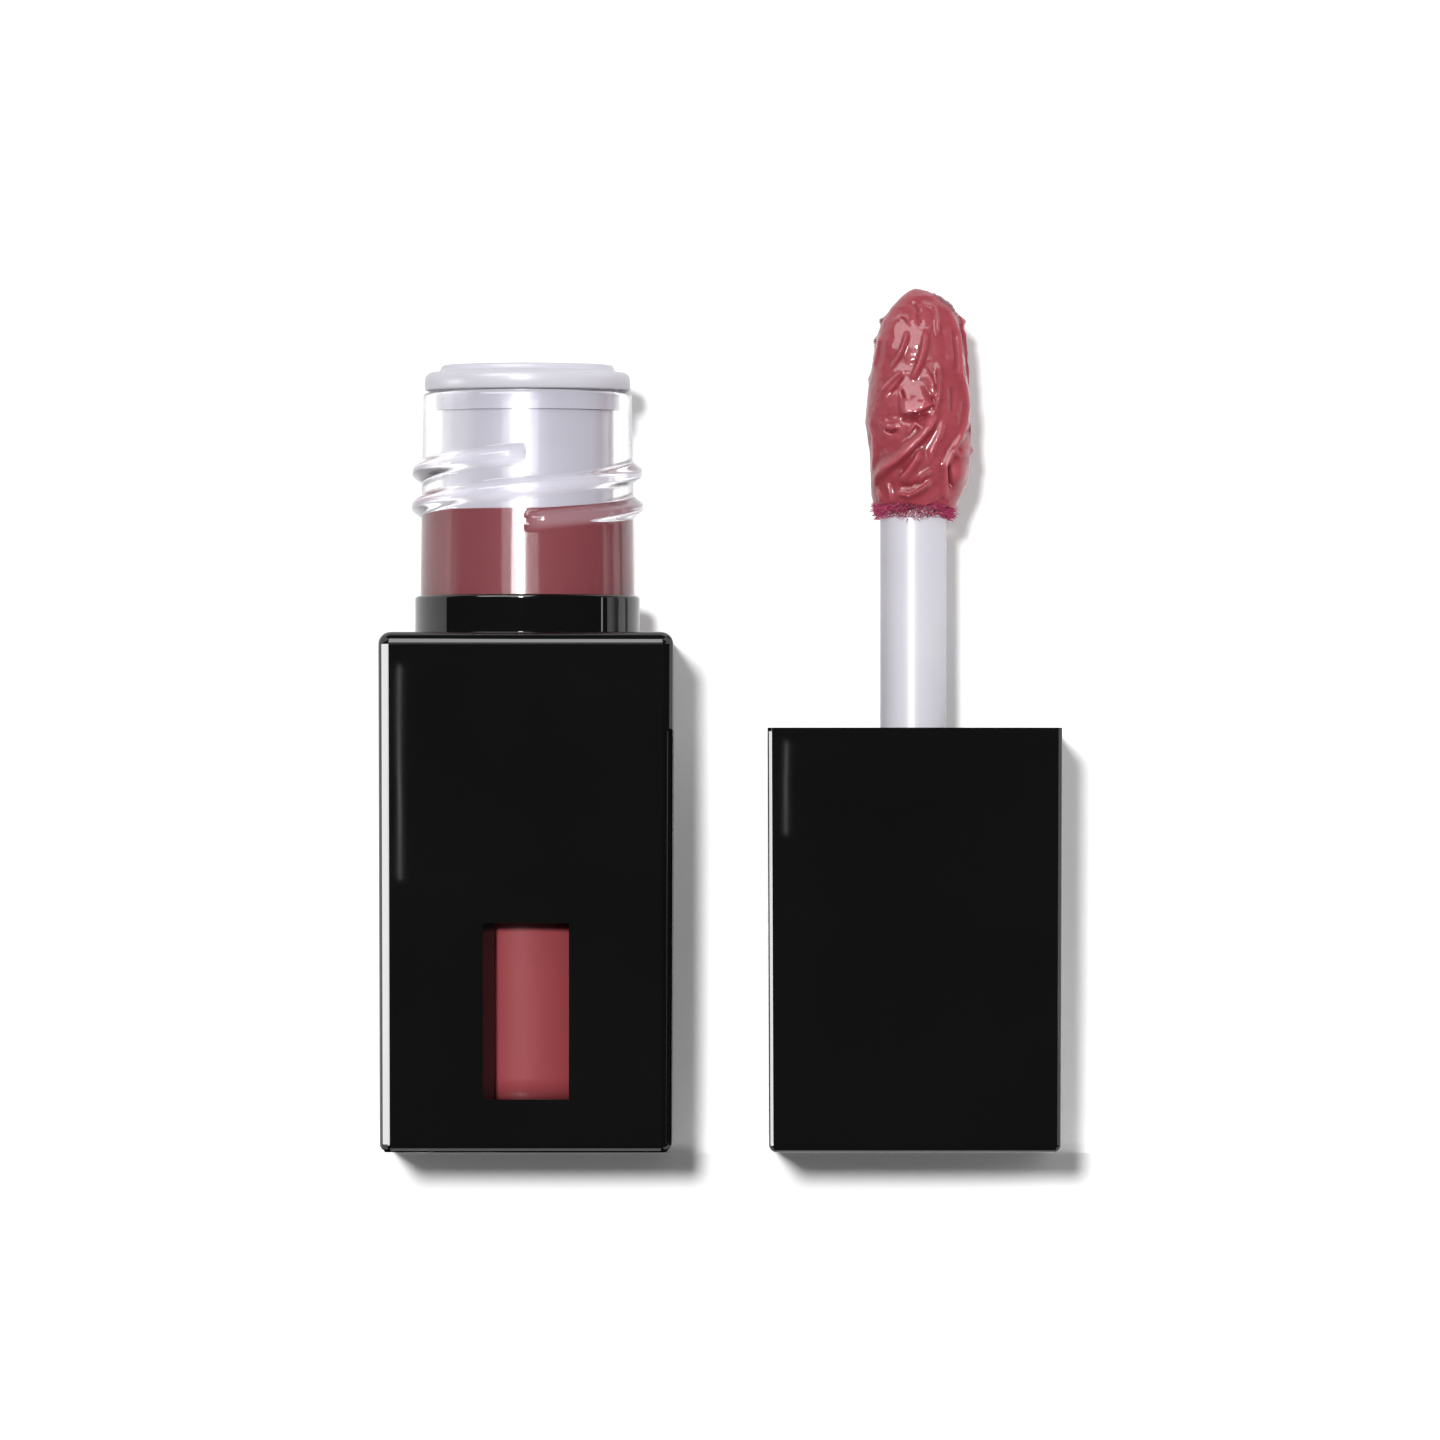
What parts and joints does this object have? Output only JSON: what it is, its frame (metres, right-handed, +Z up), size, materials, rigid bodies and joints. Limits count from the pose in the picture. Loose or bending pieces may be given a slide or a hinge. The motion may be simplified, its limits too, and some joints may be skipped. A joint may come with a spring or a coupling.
{
  "type": "lip colour bottle",
  "caption": "Square bottle of liquid lip colour with a window, a threaded neck and wiper, and a square screw cap that holds a doe-foot wand.",
  "frame": {"origin": "centre of the bottle's foot, on the surface it stands on", "axes": "+Z up along the bottle's axis; -Y is the front, with the window; +X is towards the cap, which stands beside the bottle"},
  "size_m": [0.0427, 0.0184, 0.0543],
  "materials": {
    "gloss_shell": "piano gloss",
    "satin_plug": "fine matt",
    "clear_vial": "clear, thick walled",
    "lip_colour": "wet, glossy liquid",
    "wiper": "milky, soft",
    "liner": "moulded, satin",
    "washer": "closed foam",
    "stem": "satin white",
    "flock": "short flocked fibres"
  },
  "bodies": {
    "bottle": {"outer_shell": "gloss_shell", "base_plug": "satin_plug", "collar": "gloss_shell", "vial": "clear_vial", "product_fill": "lip_colour", "wiper": "wiper"},
    "cap_turned": {"gloss_bead": "lip_colour"},
    "cap_lowered": {"gloss_coat": "lip_colour"},
    "cap_travelling": {"wand_stem": "stem", "seal_washer": "washer"},
    "cap_screwing": {"cap_shell": "gloss_shell", "cap_liner": "liner", "applicator": "flock"}
  },
  "joints": [
    {"name": "cap_turn_over", "type": "hinge", "parent": "bottle", "child": "cap_turned", "pos_m": [0.01215, 0, 0.05223], "axis": [0, -1, 0], "range_deg": [0, 180]},
    {"name": "cap_lower", "type": "slide", "parent": "cap_turned", "child": "cap_lowered", "axis": [0, 0, 1], "range_m": [0, 0.04105], "deforming": ["gloss_bead"]},
    {"name": "cap_screw_travel", "type": "slide", "parent": "cap_lowered", "child": "cap_travelling", "axis": [0, 0, 1], "range_m": [0, 0.0043], "deforming": ["gloss_coat"]},
    {"name": "cap_screw", "type": "hinge", "parent": "cap_travelling", "child": "cap_screwing", "pos_m": [0.0243, 0, 0], "axis": [0, 0, 1], "range_deg": [0, 360]}
  ],
  "couplings": [
    {"joint": "cap_screw_travel", "follows": "cap_screw", "m_per_rad": 0.00068436}
  ]
}
